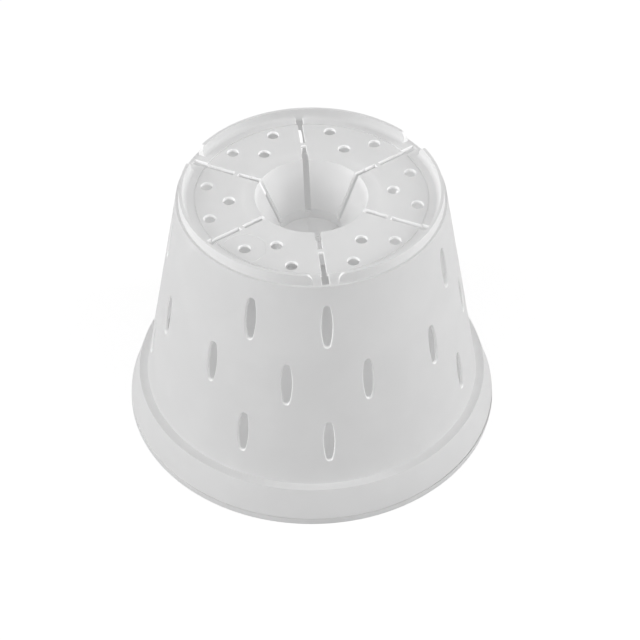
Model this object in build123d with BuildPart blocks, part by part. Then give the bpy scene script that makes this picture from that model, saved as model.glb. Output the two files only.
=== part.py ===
from build123d import *
import os
from math import cos, radians, sin, tan

# A slotted orchid pot in translucent polypropylene, standing upside down on its mouth.
# The real pot is one thin-walled injection moulding. It is built here as the features of that
# moulding, each its own closed solid, which meet face to face with nothing between them.
# Millimetres. +Z points up, from the mouth to the base. The origin is the centre of the mouth plane.

# ---- overall sizes ----
lip_radius = 70.3           # outer radius of the mouth bead
floor_height = 95.1         # mouth plane to the outer face of the base floor
foot_height = 3.75          # how far the feet stand out of the floor

# ---- wall thicknesses ----
rim_wall = 1.4
side_wall_thickness = 1.15
floor_thickness = 1.2
cone_wall = 1.1

# ---- rim: mouth bead, flared skirt and ledge ----
lip_height = 2.6
lip_step = 0.25             # the bead stands this proud of the skirt
lip_round = 0.4
skirt_draft = 19.2          # degrees from vertical
ledge_height = 13.8         # mouth plane to the top of the ledge
ledge_width = 3.1           # skirt corner to side wall
ledge_round = 2.4
ledge_hollow = 0.9          # concave fillet where the ledge meets the side wall

# ---- side wall ----
wall_draft = 10.72          # degrees from vertical
shoulder_round = 1.1        # convex fillet from side wall to floor
shoulder_depth = 3.2        # the shoulder ring reaches this far down the side wall

# ---- air slots in the side wall: three staggered rows, the same in each quarter turn ----
air_slot_height = 16.4
air_slot_width = 3.8
air_slot_end_radius = 1.15
air_slot_lip = 0.45         # rounding of the slot's outer edge
top_row_drop = 15.9         # floor to the middle of the row nearest to it
bottom_row_rise = 18.0      # ledge to the middle of the row nearest to it
quarter_middle = 75.0       # azimuth of the middle of the first quarter, degrees
outer_row_offsets = (-15.0, 15.0)
middle_row_offsets = (-30.0, 0.0, 30.0)

# ---- base: floor panel, ring and feet ----
sector_count = 6
first_slot_azimuth = 30.0
foot_count = 3
foot_crest_width = 1.05
foot_outer_draft = 7.0      # degrees from vertical
foot_inner_draft = 5.0      # degrees from vertical
foot_crest_round = 0.28
foot_hollow_run = 1.15      # the hollow inside a foot reaches this far up it and in over the floor
foot_hollow_radius = 1.6
foot_gap = 8.8              # clear width between two feet, at the floor
foot_end_run = 2.2          # length over which a foot's end rounds down
foot_end_rise = 0.9         # upright part of a foot's end, below its rounding
margin_width = 5.45         # edge of the floor panel to the edge of the floor
panel_groove_width = 0.45
panel_groove_depth = 0.35

# ---- radial slots and drain holes of the base ----
slot_width = 1.7
margin_slot_width = 2.5     # wider where the slot crosses the margin outside the panel
slot_lip = 0.35             # rounding of the upper edges of slots and holes
bridge_middle_radius = 29.4
bridge_width = 1.7
foot_slot_recess = 0.15     # how deep a slot's end cuts into the inner face of a foot
gap_slot_margin = 0.2       # floor edge to the outer end of a slot between two feet
drain_radius = 2.1
drain_edge_distance = 4.0   # centres of the outer drain holes to the edge of the floor panel
drain_half_spread = 13.74   # outer drain holes, each side of a sector's middle, degrees
drain_inner_radius = 29.0   # circle of the inner drain holes

# ---- round witness mark of a mould insert, around one outer drain hole ----
mark_sector_azimuth = 240.0
mark_inset = 1.06           # the marked drain hole sits this much nearer the centre than the others
mark_turn = 0.82            # and this many degrees further from its sector's middle
mark_radius = 7.5
mark_line_width = 0.3
mark_line_depth = 0.15

# ---- centre air cone ----
cone_lip_radius = 24.2      # where the floor starts to bend down into the cone
cone_lip_round = 6.2
cone_draft = 25.6           # degrees from vertical
cone_neck_radius = 12.1     # inside radius of the short neck above the cap
cone_neck_height = 3.8
cone_neck_round = 8.0
cone_depth = 20.2           # floor to the face of the cap
cone_slot_width = 2.2
cone_slot_lip = 0.35
cone_slot_rise = 2.5        # cap face to the lower end of a slot
cap_thickness = 1.1
cap_groove_width = 0.35
cap_groove_depth = 0.3
rib_width = 1.1
rib_height = 0.3

# ---- cuts ----
overcut = 1.0               # a cut starts or ends this far clear of what it cuts

# ---- places that follow from the sizes ----
floor_underside = floor_height - floor_thickness
floor_cut = floor_thickness + overcut
skirt_start_radius = lip_radius - lip_step
skirt_corner_radius = skirt_start_radius - tan(radians(skirt_draft)) * (ledge_height - lip_height)
ledge_inner_radius = skirt_corner_radius - ledge_width
wall_seam_low = ledge_height + 2 * ledge_hollow
wall_seam_high = floor_height - shoulder_depth
slot_azimuths = [first_slot_azimuth + 360 / sector_count * k for k in range(sector_count)]
sector_azimuths = [azimuth + 180 / sector_count for azimuth in slot_azimuths]
gap_azimuths = slot_azimuths[::2]
foot_azimuths = slot_azimuths[1::2]
bridge_inner_radius = bridge_middle_radius - bridge_width / 2
bridge_outer_radius = bridge_middle_radius + bridge_width / 2
cap_face = floor_height - cone_depth
cap_underside = cap_face - cap_thickness


def wall_radius(height):
    """Outer radius of the side wall at a height."""
    return ledge_inner_radius - tan(radians(wall_draft)) * (height - ledge_height)


base_radius = wall_radius(floor_height)
shoulder_run = shoulder_round * tan(radians((90 - wall_draft) / 2))
floor_edge_radius = base_radius - shoulder_run
panel_radius = floor_edge_radius - margin_width
foot_top = floor_height + foot_height
foot_outer_crest = floor_edge_radius - foot_height * tan(radians(foot_outer_draft))
foot_inner_crest = foot_outer_crest - foot_crest_width
foot_inner_radius = foot_inner_crest - foot_height * tan(radians(foot_inner_draft))
foot_slot_end = foot_inner_radius + foot_slot_recess
drain_outer_radius = panel_radius - drain_edge_distance


def cone_radius(height):
    """Inside radius of the cone's straight wall at a height, measured up from its neck."""
    return cone_neck_radius + tan(radians(cone_draft)) * (height - cap_face - cone_neck_height)


def around(azimuth, height):
    """A level plane at a height, with its x axis pointing out along an azimuth."""
    direction = (cos(radians(azimuth)), sin(radians(azimuth)), 0)
    return Plane(origin=(0, 0, height), x_dir=direction, z_dir=(0, 0, 1))


def facing(azimuth, height):
    """An upright plane through the axis that faces out along an azimuth, its y axis pointing up."""
    outward = (cos(radians(azimuth)), sin(radians(azimuth)), 0)
    sideways = (-sin(radians(azimuth)), cos(radians(azimuth)), 0)
    return Plane(origin=(0, 0, height), x_dir=sideways, z_dir=outward)


def corner(sketch, radius, height):
    """The corner of a profile sketch that lies nearest to a radius and a height."""
    target = Vector(radius, 0, height)
    return sorted(sketch.vertices(), key=lambda v: (Vector(v) - target).length)[0]


def radial_slots(azimuths, inner, outer, width):
    """Rectangles of one width that run outwards from radius inner to radius outer."""
    with BuildSketch(*[around(azimuth, floor_height) for azimuth in azimuths]) as sketch:
        with Locations(((inner + outer) / 2, 0)):
            Rectangle(outer - inner, width)
    return sketch.sketch


# ---- mouth bead ----
with BuildPart() as rim_lip:
    with BuildSketch(Plane.XZ) as lip_profile:
        with BuildLine():
            Polyline(
                (lip_radius, 0),
                (lip_radius, lip_height),
                (skirt_start_radius - rim_wall, lip_height),
                (skirt_start_radius - rim_wall, 0),
                close=True,
            )
        make_face()
        fillet(corner(lip_profile.sketch, lip_radius, 0), lip_round)
        fillet(corner(lip_profile.sketch, lip_radius, lip_height), lip_round)
    revolve(axis=Axis.Z)

# ---- flared skirt, ledge and the foot of the side wall ----
skirt_slope = tan(radians(skirt_draft))
wall_slope = tan(radians(wall_draft))
ledge_underside = ledge_height - rim_wall
with BuildPart() as rim_skirt:
    with BuildSketch(Plane.XZ) as skirt_profile:
        with BuildLine():
            Polyline(
                (skirt_start_radius, lip_height),
                (skirt_corner_radius, ledge_height),
                (ledge_inner_radius, ledge_height),
                (wall_radius(wall_seam_low), wall_seam_low),
                (wall_radius(wall_seam_low) - side_wall_thickness, wall_seam_low),
                (wall_radius(ledge_underside) - side_wall_thickness, ledge_underside),
                (skirt_corner_radius + skirt_slope * rim_wall - rim_wall, ledge_underside),
                (skirt_start_radius - rim_wall, lip_height),
                close=True,
            )
        make_face()
        fillet(corner(skirt_profile.sketch, skirt_corner_radius, ledge_height), ledge_round)
        fillet(corner(skirt_profile.sketch, ledge_inner_radius, ledge_height), ledge_hollow)
        fillet(
            corner(skirt_profile.sketch, skirt_corner_radius - rim_wall, ledge_underside),
            ledge_round - rim_wall,
        )
    revolve(axis=Axis.Z)


# ---- side wall with its air slots ----
def air_slot():
    """Outline of one air slot: two long bowed sides between two small round ends."""
    half_width = air_slot_width / 2
    end_centre = air_slot_height / 2 - air_slot_end_radius
    bow = (half_width**2 + end_centre**2 - air_slot_end_radius**2) / (
        2 * (half_width - air_slot_end_radius)
    )
    join_x = (bow - half_width) * air_slot_end_radius / (bow - air_slot_end_radius)
    join_y = end_centre * bow / (bow - air_slot_end_radius)
    with BuildSketch() as outline:
        with BuildLine():
            ThreePointArc((join_x, -join_y), (half_width, 0), (join_x, join_y))
            ThreePointArc((join_x, join_y), (0, air_slot_height / 2), (-join_x, join_y))
            ThreePointArc((-join_x, join_y), (-half_width, 0), (-join_x, -join_y))
            ThreePointArc((-join_x, -join_y), (0, -air_slot_height / 2), (join_x, -join_y))
        make_face()
    return outline.sketch


top_row = floor_height - top_row_drop
bottom_row = ledge_height + bottom_row_rise
air_slot_rows = (
    (top_row, outer_row_offsets),
    ((top_row + bottom_row) / 2, middle_row_offsets),
    (bottom_row, outer_row_offsets),
)
air_slot_planes = [
    facing(quarter_middle + 90 * quarter + offset, height)
    for height, offsets in air_slot_rows
    for quarter in range(4)
    for offset in offsets
]
with BuildPart() as side_wall:
    with BuildSketch(Plane.XZ):
        with BuildLine():
            Polyline(
                (wall_radius(wall_seam_low), wall_seam_low),
                (wall_radius(wall_seam_high), wall_seam_high),
                (wall_radius(wall_seam_high) - side_wall_thickness, wall_seam_high),
                (wall_radius(wall_seam_low) - side_wall_thickness, wall_seam_low),
                close=True,
            )
        make_face()
    revolve(axis=Axis.Z)
    with BuildSketch(*air_slot_planes):
        add(air_slot())
    extrude(amount=lip_radius, mode=Mode.SUBTRACT)
    outside = side_wall.faces().filter_by(GeomType.CONE).sort_by(SortBy.AREA)[-1]
    slot_edges = [edge for wire in outside.inner_wires() for edge in wire.edges()]
    fillet(slot_edges, air_slot_lip)

# ---- shoulder ring: top of the side wall and the outer ring of the floor ----
with BuildPart() as base_ring:
    with BuildSketch(Plane.XZ) as ring_profile:
        with BuildLine():
            Polyline(
                (wall_radius(wall_seam_high), wall_seam_high),
                (base_radius, floor_height),
                (panel_radius, floor_height),
                (panel_radius, floor_underside),
                (wall_radius(floor_underside) - side_wall_thickness, floor_underside),
                (wall_radius(wall_seam_high) - side_wall_thickness, wall_seam_high),
                close=True,
            )
        make_face()
        fillet(corner(ring_profile.sketch, base_radius, floor_height), shoulder_round)
    revolve(axis=Axis.Z)
    gap_slots = radial_slots(
        gap_azimuths, panel_radius - overcut, floor_edge_radius - gap_slot_margin, margin_slot_width
    )
    foot_slots = radial_slots(
        foot_azimuths, panel_radius - overcut, foot_slot_end, margin_slot_width
    )
    extrude(gap_slots + foot_slots, amount=-floor_cut, mode=Mode.SUBTRACT)
    level_edges = base_ring.edges().filter_by(GeomType.LINE).group_by(Axis.Z)[-1]
    fillet(level_edges.filter_by(lambda edge: edge.length > margin_slot_width + slot_lip), slot_lip)

# ---- feet: three thin upright arcs with rounded crests, parted by three gaps ----
hollow_top = (
    foot_inner_radius + foot_hollow_run * tan(radians(foot_inner_draft)),
    floor_height + foot_hollow_run,
)
hollow_edge = (foot_inner_radius - foot_hollow_run, floor_height)
half_gap = foot_gap / 2
gap_flare = half_gap + foot_end_run
foot_end_drop = foot_height - foot_end_rise

with BuildSketch() as gap_outline:
    with BuildLine():
        Polyline(
            (-half_gap, foot_end_rise),
            (-half_gap, -overcut),
            (half_gap, -overcut),
            (half_gap, foot_end_rise),
        )
        EllipticalCenterArc((gap_flare, foot_end_rise), foot_end_run, foot_end_drop, 90)
        Polyline(
            (gap_flare, foot_height),
            (gap_flare, foot_height + overcut),
            (-gap_flare, foot_height + overcut),
            (-gap_flare, foot_height),
        )
        EllipticalCenterArc((-gap_flare, foot_end_rise), foot_end_run, foot_end_drop, 0)
    make_face()


feet = []
for number, azimuth in enumerate(foot_azimuths, start=1):
    with BuildPart() as foot:
        with BuildSketch(facing(azimuth - 90 - 180 / foot_count, 0)) as foot_profile:
            with BuildLine():
                Polyline(
                    hollow_edge,
                    (floor_edge_radius, floor_height),
                    (foot_outer_crest, foot_top),
                    (foot_inner_crest, foot_top),
                    hollow_top,
                )
                RadiusArc(hollow_top, hollow_edge, foot_hollow_radius)
            make_face()
            crests = foot_profile.sketch.vertices().group_by(Axis.Z)[-1]
            fillet(crests, foot_crest_round)
        revolve(axis=Axis.Z, revolution_arc=360 / foot_count)
        with BuildSketch(*[facing(gap, floor_height) for gap in gap_azimuths]):
            add(gap_outline.sketch)
        extrude(amount=lip_radius, mode=Mode.SUBTRACT)
        foot_slot = radial_slots(
            [azimuth], panel_radius, foot_slot_end, margin_slot_width + 2 * slot_lip
        )
        extrude(foot_slot, amount=foot_height, mode=Mode.SUBTRACT)
    foot.part.label = f"foot_{number}"
    feet.append(foot)

# ---- floor panel with radial slots, bridges and drain holes ----
mark_azimuth = mark_sector_azimuth - drain_half_spread - mark_turn
mark_centre = (
    (drain_outer_radius - mark_inset) * cos(radians(mark_azimuth)),
    (drain_outer_radius - mark_inset) * sin(radians(mark_azimuth)),
)
outer_drains = [mark_centre] + [
    (drain_outer_radius * cos(radians(azimuth + side)), drain_outer_radius * sin(radians(azimuth + side)))
    for azimuth in sector_azimuths
    for side in (-drain_half_spread, drain_half_spread)
    if (azimuth, side) != (mark_sector_azimuth, -drain_half_spread)
]
inner_drains = [
    (drain_inner_radius * cos(radians(azimuth)), drain_inner_radius * sin(radians(azimuth)))
    for azimuth in sector_azimuths
]
with BuildPart() as floor_panel:
    with BuildSketch(Plane.XY.offset(floor_underside)):
        Circle(panel_radius)
        Circle(cone_lip_radius, mode=Mode.SUBTRACT)
    extrude(amount=floor_thickness)
    outer_slots = radial_slots(slot_azimuths, bridge_outer_radius, panel_radius + overcut, slot_width)
    inner_slots = radial_slots(slot_azimuths, cone_lip_radius - overcut, bridge_inner_radius, slot_width)
    extrude(outer_slots + inner_slots, amount=-floor_cut, mode=Mode.SUBTRACT)
    with BuildSketch(Plane.XY.offset(floor_height)):
        with Locations(*outer_drains, *inner_drains):
            Circle(drain_radius)
    extrude(amount=-floor_cut, mode=Mode.SUBTRACT)
    top_face = floor_panel.faces().filter_by(Plane.XY).group_by(Axis.Z)[-1]
    upper_edges = top_face.edges()
    round_edges = upper_edges.filter_by(GeomType.CIRCLE).filter_by(
        lambda edge: edge.radius < cone_lip_radius
    )
    fillet(round_edges + upper_edges.filter_by(GeomType.LINE), slot_lip)
    with BuildSketch(Plane.XY.offset(floor_height)):
        Circle(panel_radius)
        Circle(panel_radius - panel_groove_width, mode=Mode.SUBTRACT)
    extrude(amount=-panel_groove_depth, mode=Mode.SUBTRACT)
    with BuildSketch(Plane.XY.offset(floor_height)):
        with Locations(mark_centre):
            Circle(mark_radius)
            Circle(mark_radius - mark_line_width, mode=Mode.SUBTRACT)
    extrude(amount=-mark_line_depth, mode=Mode.SUBTRACT)

# ---- centre air cone: rolled lip, straight cone and short neck, cut by six slots ----
neck_top = cap_face + cone_neck_height
cone_corner_radius = cone_radius(floor_height)
cone_side_step = cone_wall / cos(radians(cone_draft))
neck_outer_radius = cone_neck_radius + cone_wall
neck_outer_top = neck_top - (cone_side_step - cone_wall) / tan(radians(cone_draft))
with BuildPart() as centre_cone:
    with BuildSketch(Plane.XZ) as cone_profile:
        with BuildLine():
            Polyline(
                (cone_lip_radius, floor_height),
                (cone_corner_radius, floor_height),
                (cone_neck_radius, neck_top),
                (cone_neck_radius, cap_underside),
                (neck_outer_radius, cap_underside),
                (neck_outer_radius, neck_outer_top),
                (cone_radius(floor_underside) + cone_side_step, floor_underside),
                (cone_lip_radius, floor_underside),
                close=True,
            )
        make_face()
        fillet(corner(cone_profile.sketch, cone_corner_radius, floor_height), cone_lip_round)
        fillet(
            corner(cone_profile.sketch, cone_corner_radius + cone_side_step, floor_underside),
            cone_lip_round - floor_thickness,
        )
        fillet(corner(cone_profile.sketch, cone_neck_radius, neck_top), cone_neck_round)
        fillet(
            corner(cone_profile.sketch, neck_outer_radius, neck_outer_top),
            cone_neck_round - cone_wall,
        )
    revolve(axis=Axis.Z)
    cone_slots = radial_slots(
        slot_azimuths, cone_neck_radius - overcut, cone_lip_radius + overcut, cone_slot_width
    )
    extrude(cone_slots, amount=-(cone_depth - cone_slot_rise), mode=Mode.SUBTRACT)

# ---- cap that closes the cone, and the star of ribs on its face ----
with BuildPart() as cone_cap:
    with BuildSketch(Plane.XY.offset(cap_underside)):
        Circle(cone_neck_radius)
    extrude(amount=cap_thickness)
    with BuildSketch(Plane.XY.offset(cap_face)):
        Circle(cone_neck_radius)
        Circle(cone_neck_radius - cap_groove_width, mode=Mode.SUBTRACT)
    extrude(amount=-cap_groove_depth, mode=Mode.SUBTRACT)

rib_length = 2 * (cone_neck_radius - cap_groove_width)
with BuildPart() as cap_ribs:
    with BuildSketch(*[around(azimuth, cap_face) for azimuth in slot_azimuths[:3]]):
        Rectangle(rib_length, rib_width)
    extrude(amount=rib_height)

# ---- names and files ----
rim_lip.part.label = "rim_lip"
rim_skirt.part.label = "rim_skirt"
side_wall.part.label = "side_wall"
base_ring.part.label = "base_ring"
floor_panel.part.label = "floor_panel"
centre_cone.part.label = "centre_cone"
cone_cap.part.label = "cone_cap"
cap_ribs.part.label = "cap_ribs"

pieces = [rim_lip, rim_skirt, side_wall, base_ring, *feet, floor_panel, centre_cone, cone_cap, cap_ribs]
os.makedirs("parts", exist_ok=True)
for piece in pieces:
    export_step(piece.part, f"parts/{piece.part.label}.step")
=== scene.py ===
from math import radians

import bpy
from mathutils import Matrix, Vector


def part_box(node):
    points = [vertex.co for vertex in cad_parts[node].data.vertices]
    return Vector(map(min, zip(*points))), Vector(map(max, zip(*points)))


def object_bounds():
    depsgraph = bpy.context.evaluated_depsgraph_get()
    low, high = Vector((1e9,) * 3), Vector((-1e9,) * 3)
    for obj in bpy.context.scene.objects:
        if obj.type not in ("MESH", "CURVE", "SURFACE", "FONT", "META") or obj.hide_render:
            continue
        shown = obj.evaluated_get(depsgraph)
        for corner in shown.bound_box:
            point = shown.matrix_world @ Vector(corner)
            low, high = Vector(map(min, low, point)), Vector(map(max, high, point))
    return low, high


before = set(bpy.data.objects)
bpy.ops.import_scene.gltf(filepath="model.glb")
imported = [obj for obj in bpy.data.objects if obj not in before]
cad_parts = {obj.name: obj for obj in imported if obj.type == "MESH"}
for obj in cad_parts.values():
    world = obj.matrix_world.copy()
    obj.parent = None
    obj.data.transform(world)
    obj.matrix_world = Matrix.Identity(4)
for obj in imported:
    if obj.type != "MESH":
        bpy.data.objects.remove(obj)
cad_low, cad_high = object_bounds()

# ---- camera: where the photograph was taken from ----
CAMERA_PLACE = Vector((-0.04492, -0.43823, 0.45826))
CAMERA_PITCH = radians(43.90)
CAMERA_HEADING = radians(-6.2565)
CAMERA_ROLL = radians(0.148)
CAMERA_LENS = 91.30

# ---- plastic ----
BODY_COLOUR = (0.92, 0.92, 0.92, 1)
HAZE_COLOUR = (0.90, 0.90, 0.90, 1)
# painted highlight: edges and cut faces get this paler colour, standing in for the light that rims them
EDGE_HIGHLIGHT_COLOUR = (0.99, 0.99, 0.99, 1)
THROUGH_SHARE = 0.45        # light that goes through a surface rather than back off it
PLASTIC_IOR = 1.49
HAZE_SCALE = 55.0           # clouds per metre in the plastic's haze
GRAIN_SCALE = 2600.0        # per metre, the frosted grain
GRAIN_DETAIL = 3.0
GRAIN_ROUGHNESS = (0.42, 0.52)
GRAIN_BUMP = 0.12
GRAIN_DEPTH = 0.0002
EDGE_HIGHLIGHT_START = 0.08           # how far a surface has turned into a cut where the painted highlight on its edge begins
EDGE_HIGHLIGHT_FULL = 0.5
EDGE_GLOSS = 0.2            # an edge is this much less rough
SEAM_REACH = 0.00002        # metres, how near a level face lies to a seam to be part of it
LEVEL = 0.99                # upward share of a normal that counts as level

# how a surface's turn into a cut is read on each node, by the way its skin lies
TURN_KINDS = {"side_wall": "upright", "floor_panel": "level"}
OTHER_KIND = "sideways"
SEAM_NODES = ("rim_lip", "rim_skirt", "side_wall")

# ---- light ----
WHITE = (1, 1, 1, 1)
SKY_LEVEL = 0.72
SKY_BACK_LOSS = 0.35        # the studio is this much darker behind the object
FLOOR_REACH = 4.0
FLOOR_SHADE_COLOUR = (0.3, 0.3, 0.3, 1)    # around the pot, painted shade: a floor darker than the white table, so little light bounces onto the pot's lower sides; the glow makes up the rest of its white
BENCH_COLOUR = (0.85, 0.85, 0.85, 1) # under the pot, seen through its slots
FLOOR_GLOW = 0.75           # shown only to camera, mirror and glass rays, and not under the pot
LAMP_TARGET = (0, 0, 0.06)
LAMP_SIZE = 0.4
LAMP_POWER = 4
LAMPS = {"softbox_left": (-0.9, -0.15, 0.45), "softbox_right": (0.9, -0.15, 0.45)}


def make_camera():
    data = bpy.data.cameras.new("camera")
    data.lens = CAMERA_LENS
    data.sensor_width = 36
    camera = bpy.data.objects.new("camera", data)
    bpy.context.scene.collection.objects.link(camera)
    turn = (
        Matrix.Rotation(CAMERA_HEADING, 4, "Z")
        @ Matrix.Rotation(radians(90) - CAMERA_PITCH, 4, "X")
        @ Matrix.Rotation(CAMERA_ROLL, 4, "Z")
    )
    camera.matrix_world = Matrix.Translation(CAMERA_PLACE) @ turn
    bpy.context.scene.camera = camera


class Nodes:
    """Short ways to add nodes to one node tree. A value is a number or another node's output."""

    def __init__(self, tree):
        self.tree = tree
        tree.nodes.clear()

    def add(self, kind, **settings):
        node = self.tree.nodes.new(kind)
        for name, value in settings.items():
            setattr(node, name, value)
        return node

    def put(self, socket, value):
        if isinstance(value, bpy.types.NodeSocket):
            self.tree.links.new(value, socket)
        else:
            socket.default_value = value

    def math(self, operation, *values):
        node = self.add("ShaderNodeMath", operation=operation)
        for socket, value in zip(node.inputs, values):
            self.put(socket, value)
        return node.outputs[0]

    def vector(self, operation, *values):
        node = self.add("ShaderNodeVectorMath", operation=operation)
        for socket, value in zip(node.inputs, values):
            self.put(socket, value)
        return node.outputs["Value" if operation in ("DOT_PRODUCT", "LENGTH") else "Vector"]

    def fade(self, value, low, high, start=0.0, end=1.0):
        """A value that goes smoothly from start to end as another goes from low to high."""
        node = self.add("ShaderNodeMapRange", interpolation_type="SMOOTHSTEP")
        for name, item in (
            ("Value", value),
            ("From Min", low),
            ("From Max", high),
            ("To Min", start),
            ("To Max", end),
        ):
            self.put(node.inputs[name], item)
        return node.outputs["Result"]

    def noise(self, place, scale, detail=2.0):
        node = self.add("ShaderNodeTexNoise")
        self.put(node.inputs["Vector"], place)
        self.put(node.inputs["Scale"], scale)
        self.put(node.inputs["Detail"], detail)
        return node.outputs["Fac"]

    def blend(self, share, first, second):
        """A colour that goes from first to second as share goes from 0 to 1."""
        node = self.add("ShaderNodeMix", data_type="RGBA")
        self.put(node.inputs["Factor"], share)
        self.put(node.inputs[6], first)
        self.put(node.inputs[7], second)
        return node.outputs[2]

    def mix(self, share, first, second):
        node = self.add("ShaderNodeMixShader")
        self.put(node.inputs["Fac"], share)
        self.put(node.inputs[1], first)
        self.put(node.inputs[2], second)
        return node.outputs[0]


def seen_directly(nodes):
    """1 for camera rays, and for mirror and glass rays, which show what the camera would see."""
    path = nodes.add("ShaderNodeLightPath")
    clear = nodes.math("SUBTRACT", path.outputs["Is Transmission Ray"], path.outputs["Is Diffuse Ray"])
    bounced = nodes.math("MAXIMUM", path.outputs["Is Glossy Ray"], clear)
    return nodes.math("MAXIMUM", path.outputs["Is Camera Ray"], bounced)


def make_floor():
    mesh = bpy.data.meshes.new("floor")
    reach = FLOOR_REACH
    corners = [(-reach, -reach, 0), (reach, -reach, 0), (reach, reach, 0), (-reach, reach, 0)]
    mesh.from_pydata(corners, [], [(0, 1, 2, 3)])
    floor = bpy.data.objects.new("floor", mesh)
    bpy.context.scene.collection.objects.link(floor)
    material = bpy.data.materials.new("floor_white")
    material.use_nodes = True
    nodes = Nodes(material.node_tree)
    surface = nodes.add("ShaderNodeBsdfDiffuse")
    place = nodes.add("ShaderNodeTexCoord").outputs["Object"]
    covered = (cad_high[0] - cad_low[0]) / 2
    outside = nodes.math("GREATER_THAN", nodes.vector("LENGTH", place), covered)
    # painted shade: outside the pot the floor is dark, so less light bounces onto the skirt
    nodes.put(surface.inputs["Color"], nodes.blend(outside, BENCH_COLOUR, FLOOR_SHADE_COLOUR))
    glow = nodes.add("ShaderNodeEmission")
    shown = nodes.math("MULTIPLY", outside, seen_directly(nodes))
    nodes.put(glow.inputs["Strength"], nodes.math("MULTIPLY", shown, FLOOR_GLOW))
    both = nodes.add("ShaderNodeAddShader")
    nodes.put(both.inputs[0], surface.outputs[0])
    nodes.put(both.inputs[1], glow.outputs[0])
    output = nodes.add("ShaderNodeOutputMaterial")
    nodes.put(output.inputs["Surface"], both.outputs[0])
    mesh.materials.append(material)


def make_lamp(name, place):
    data = bpy.data.lights.new(name, "AREA")
    data.shape = "DISK"
    data.size = LAMP_SIZE
    data.energy = LAMP_POWER
    lamp = bpy.data.objects.new(name, data)
    bpy.context.scene.collection.objects.link(lamp)
    lamp.location = place
    lamp.rotation_mode = "QUATERNION"
    lamp.rotation_quaternion = (Vector(LAMP_TARGET) - Vector(place)).to_track_quat("-Z", "Y")


def make_light():
    world = bpy.data.worlds.new("studio")
    bpy.context.scene.world = world
    world.use_nodes = True
    nodes = Nodes(world.node_tree)
    white = nodes.add("ShaderNodeBackground")
    white.inputs["Strength"].default_value = 1.0
    white.inputs["Color"].default_value = WHITE
    sky = nodes.add("ShaderNodeBackground")
    sky.inputs["Color"].default_value = WHITE
    direction = nodes.add("ShaderNodeTexCoord").outputs["Generated"]
    back = nodes.fade(nodes.vector("DOT_PRODUCT", direction, (0, 1, 0)), 0.1, 0.9, 0.0, SKY_BACK_LOSS)
    nodes.put(sky.inputs["Strength"], nodes.math("SUBTRACT", SKY_LEVEL, back))
    output = nodes.add("ShaderNodeOutputWorld")
    seen = nodes.mix(seen_directly(nodes), sky.outputs[0], white.outputs[0])
    nodes.put(output.inputs["Surface"], seen)
    for name, place in LAMPS.items():
        make_lamp(name, place)


def surface_turn(nodes, kind):
    """How far a surface has turned from the skin of the moulding into a cut: 0 on the skin, 1 in a cut."""
    geometry = nodes.add("ShaderNodeTexCoord")
    place = geometry.outputs["Object"]
    normal = geometry.outputs["Normal"]
    if kind == "level":
        skin = nodes.vector("DOT_PRODUCT", normal, (0, 0, 1))
        return nodes.math("SUBTRACT", 1.0, nodes.math("ABSOLUTE", skin))
    outward = nodes.vector("NORMALIZE", nodes.vector("MULTIPLY", place, (1, 1, 0)))
    if kind == "upright":
        skin = nodes.vector("DOT_PRODUCT", normal, outward)
        return nodes.math("SUBTRACT", 1.0, nodes.math("ABSOLUTE", skin))
    sideways = nodes.vector("CROSS_PRODUCT", outward, (0, 0, 1))
    return nodes.math("ABSOLUTE", nodes.vector("DOT_PRODUCT", normal, sideways))


def inside_plastic(nodes):
    """1 for a ray that is already inside the plastic: at a surface's back, or where two nodes meet."""
    geometry = nodes.add("ShaderNodeTexCoord")
    place = geometry.outputs["Object"]
    level = nodes.math("ABSOLUTE", nodes.vector("DOT_PRODUCT", geometry.outputs["Normal"], (0, 0, 1)))
    height = nodes.vector("DOT_PRODUCT", place, (0, 0, 1))
    seams = [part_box(name)[1][2] for name in SEAM_NODES]
    share = nodes.add("ShaderNodeNewGeometry").outputs["Backfacing"]
    for seam in seams:
        near = nodes.math("COMPARE", height, seam, SEAM_REACH)
        met = nodes.math("MULTIPLY", near, nodes.math("GREATER_THAN", level, LEVEL))
        share = nodes.math("MAXIMUM", share, met)
    return share


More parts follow.
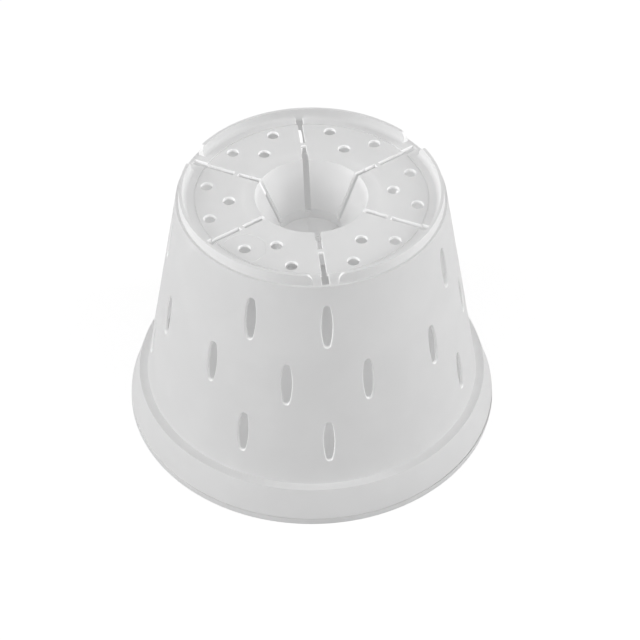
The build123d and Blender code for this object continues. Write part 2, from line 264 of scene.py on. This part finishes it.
def make_plastic(name, kind):
    material = bpy.data.materials.new(name)
    material.use_nodes = True
    nodes = Nodes(material.node_tree)
    place = nodes.add("ShaderNodeTexCoord").outputs["Object"]
    turn = surface_turn(nodes, kind)
    edge_highlight = nodes.fade(turn, EDGE_HIGHLIGHT_START, EDGE_HIGHLIGHT_FULL)
    haze = nodes.fade(nodes.noise(place, HAZE_SCALE), 0.35, 0.65)
    colour = nodes.blend(haze, HAZE_COLOUR, BODY_COLOUR)
    # painted highlight: edges and cut faces are painted paler than the body
    colour = nodes.blend(edge_highlight, colour, EDGE_HIGHLIGHT_COLOUR)
    grain = nodes.noise(place, GRAIN_SCALE, GRAIN_DETAIL)
    frost = nodes.fade(grain, 0.3, 0.7, *GRAIN_ROUGHNESS)
    rough = nodes.math("SUBTRACT", frost, nodes.math("MULTIPLY", edge_highlight, EDGE_GLOSS))
    bump = nodes.add("ShaderNodeBump")
    bump.inputs["Strength"].default_value = GRAIN_BUMP
    bump.inputs["Distance"].default_value = GRAIN_DEPTH
    nodes.put(bump.inputs["Height"], grain)
    front = nodes.add("ShaderNodeBsdfPrincipled")
    front.inputs["IOR"].default_value = PLASTIC_IOR
    nodes.put(front.inputs["Base Color"], colour)
    nodes.put(front.inputs["Roughness"], rough)
    nodes.put(front.inputs["Normal"], bump.outputs[0])
    through = nodes.add("ShaderNodeBsdfTranslucent")
    nodes.put(through.inputs["Color"], colour)
    share = nodes.fade(edge_highlight, 0.0, 1.0, THROUGH_SHARE, 0.0)
    skin = nodes.mix(share, front.outputs[0], through.outputs[0])
    clear = nodes.add("ShaderNodeBsdfTransparent")
    output = nodes.add("ShaderNodeOutputMaterial")
    nodes.put(output.inputs["Surface"], nodes.mix(inside_plastic(nodes), skin, clear.outputs[0]))
    return material


make_camera()
make_floor()
make_light()
plastics = {kind: make_plastic(f"polypropylene_{kind}", kind) for kind in ("upright", "level", "sideways")}
for name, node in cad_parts.items():
    node.data.materials.clear()
    node.data.materials.append(plastics[TURN_KINDS.get(name, OTHER_KIND)])
bpy.context.scene.view_settings.view_transform = "Standard"
